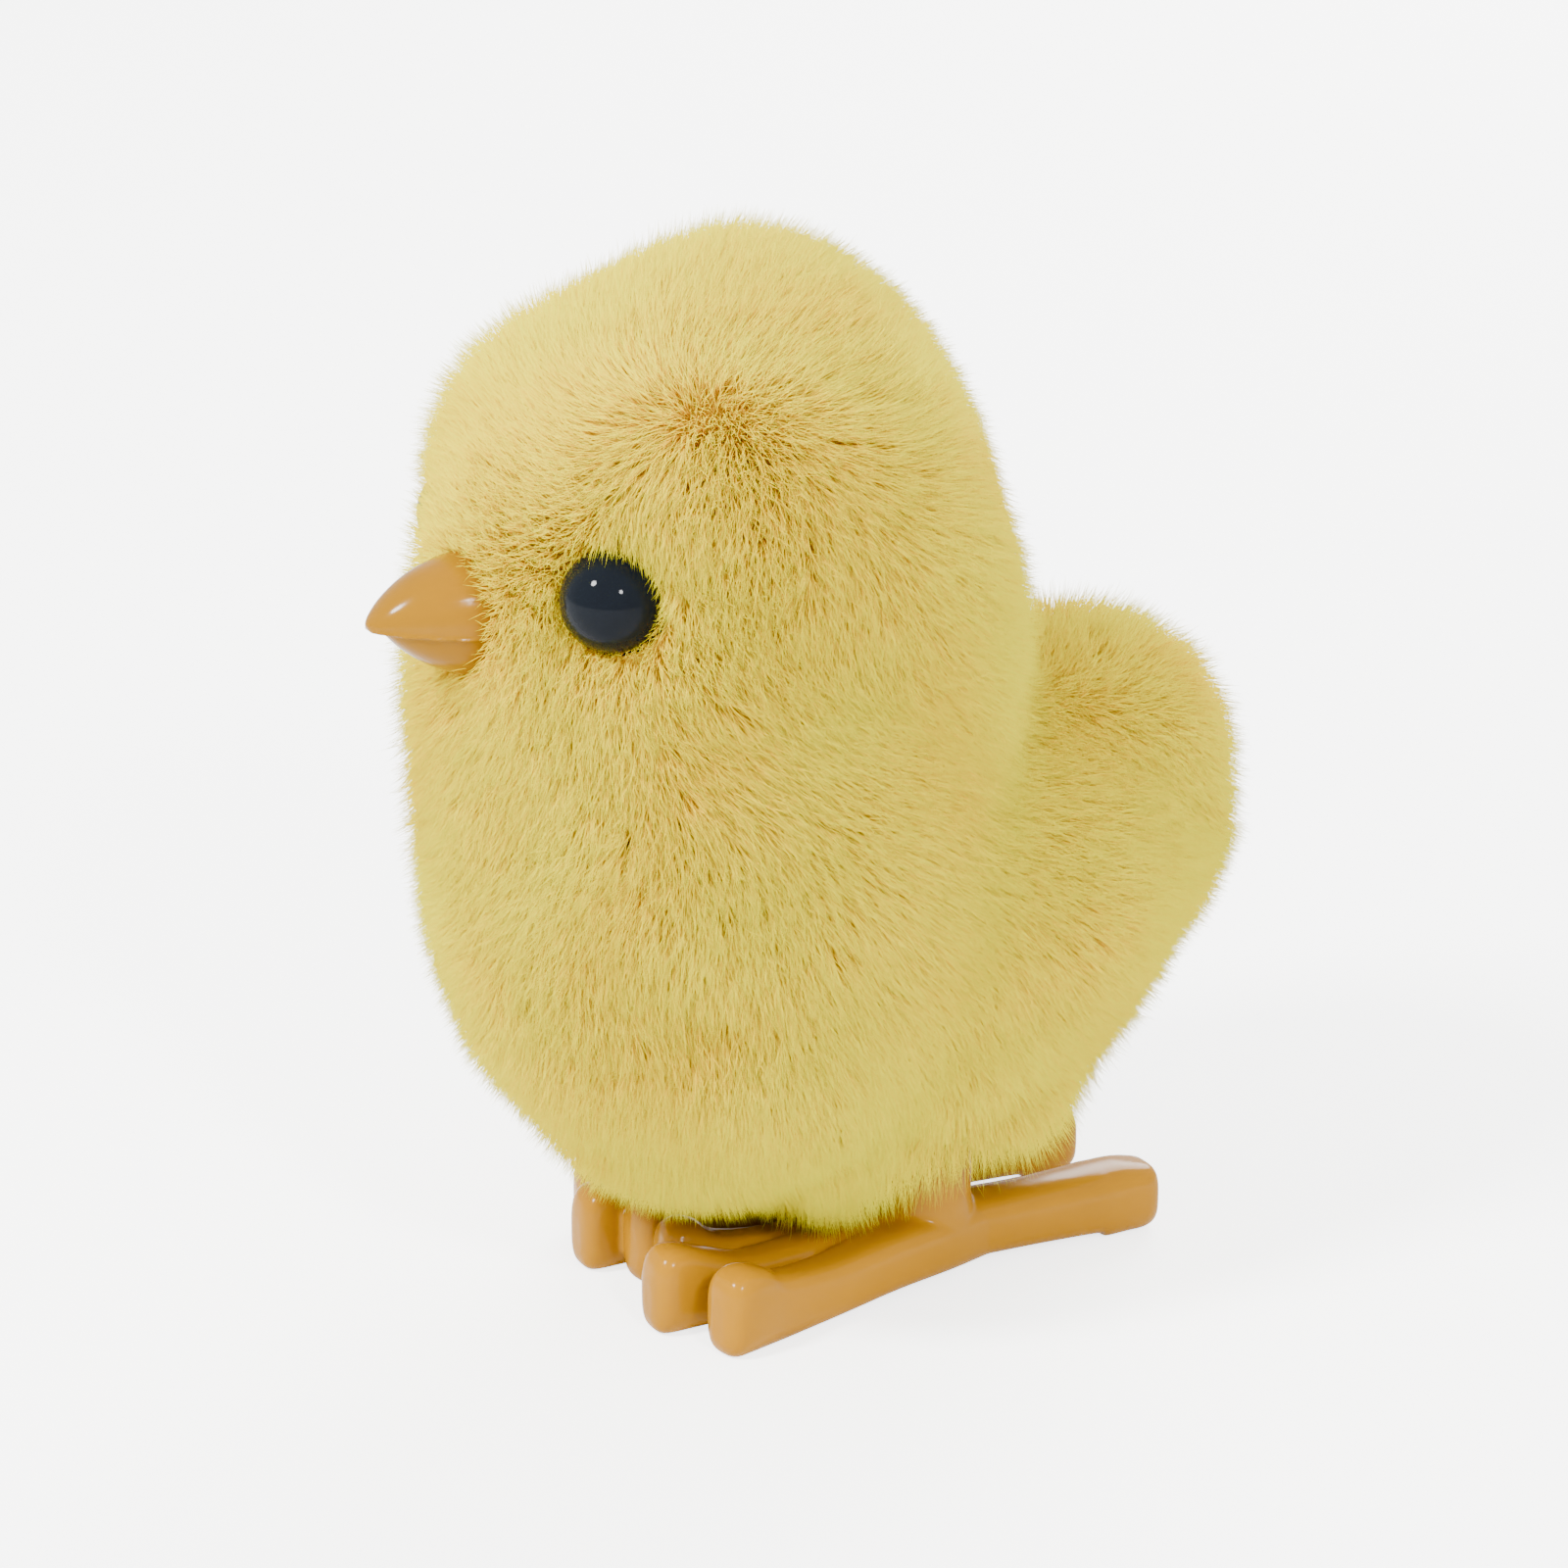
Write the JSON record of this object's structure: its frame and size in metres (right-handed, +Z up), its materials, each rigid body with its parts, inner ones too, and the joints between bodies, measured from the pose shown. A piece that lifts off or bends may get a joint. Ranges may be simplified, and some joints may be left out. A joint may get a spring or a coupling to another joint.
{
  "type": "wind-up hopping chick",
  "caption": "Plush wind-up hopping chick with gloss eyes, beak and feet; a clockwork motor inside cranks both feet.",
  "frame": {"origin": "on the floor, at the centre of the bounding box seen from above, knob included", "axes": "+Z up; the bird faces -Y; +X is the bird's left side, the winding knob is on its right"},
  "size_m": [0.0558, 0.0759, 0.088],
  "materials": {
    "plush": "long soft pile, pale at the tips and golden at the roots",
    "shell_plastic": "moulded, satin",
    "case_plastic": "moulded, satin",
    "gear_plastic": "natural acetal",
    "steel": "bright zinc plate",
    "brass": "turned",
    "eye_black": "high gloss",
    "beak_orange": "gloss moulding",
    "foot_orange": "gloss moulding",
    "knob_white": "gloss moulding"
  },
  "bodies": {
    "chick": {"fur_cover": "plush", "body_shell_left": "shell_plastic", "body_shell_right": "shell_plastic", "shell_screws": "steel", "motor_mount_screws": "steel", "eye_left": "eye_black", "eye_right": "eye_black", "eye_washer_left": "steel", "eye_washer_right": "steel", "beak": "beak_orange", "beak_washer": "steel", "motor_case": "case_plastic", "motor_cover": "case_plastic", "case_screws": "steel", "belly_plate": "shell_plastic", "belly_plate_screws": "steel", "second_arbor": "steel", "mainspring": "steel"},
    "crank": {"crank_axle": "steel", "crank_pinion": "brass", "crank_disc_left": "gear_plastic", "crank_disc_right": "gear_plastic", "crank_pin_caps": "gear_plastic"},
    "second_gear": {"second_wheel": "gear_plastic"},
    "great_gear": {"great_wheel": "gear_plastic", "click_pawl": "steel", "click_rivet": "brass"},
    "winder": {"winding_arbor": "steel", "ratchet_wheel": "steel", "winding_knob": "knob_white"},
    "left_foot": {"leg_left": "foot_orange", "foot_left": "foot_orange", "foot_screw_left": "steel"},
    "right_foot": {"leg_right": "foot_orange", "foot_right": "foot_orange", "foot_screw_right": "steel"}
  },
  "joints": [
    {"name": "crank_turn", "type": "hinge", "parent": "chick", "child": "crank", "pos_m": [0.0042, -0.00395, 0.03], "axis": [1, 0, 0], "continuous": true},
    {"name": "left_foot_circle", "type": "hinge", "parent": "crank", "child": "left_foot", "pos_m": [0.012, -0.00395, 0.032], "axis": [1, 0, 0], "continuous": true},
    {"name": "right_foot_circle", "type": "hinge", "parent": "crank", "child": "right_foot", "pos_m": [-0.0036, -0.00395, 0.032], "axis": [1, 0, 0], "continuous": true},
    {"name": "second_wheel_turn", "type": "hinge", "parent": "chick", "child": "second_gear", "pos_m": [0.0042, -0.01249, 0.03694], "axis": [1, 0, 0], "continuous": true},
    {"name": "great_wheel_turn", "type": "hinge", "parent": "chick", "child": "great_gear", "pos_m": [0.0042, -0.00335, 0.0435], "axis": [1, 0, 0], "continuous": true},
    {"name": "winding_turn", "type": "hinge", "parent": "great_gear", "child": "winder", "pos_m": [0.0042, -0.00335, 0.0435], "axis": [1, 0, 0], "range_deg": [-1440, 0], "deforming": ["mainspring"]}
  ],
  "couplings": [
    {"joint": "left_foot_circle", "follows": "crank_turn", "ratio": -1},
    {"joint": "right_foot_circle", "follows": "crank_turn", "ratio": -1},
    {"joint": "second_wheel_turn", "follows": "crank_turn", "ratio": -0.22222},
    {"joint": "great_wheel_turn", "follows": "crank_turn", "ratio": 0.055556}
  ]
}
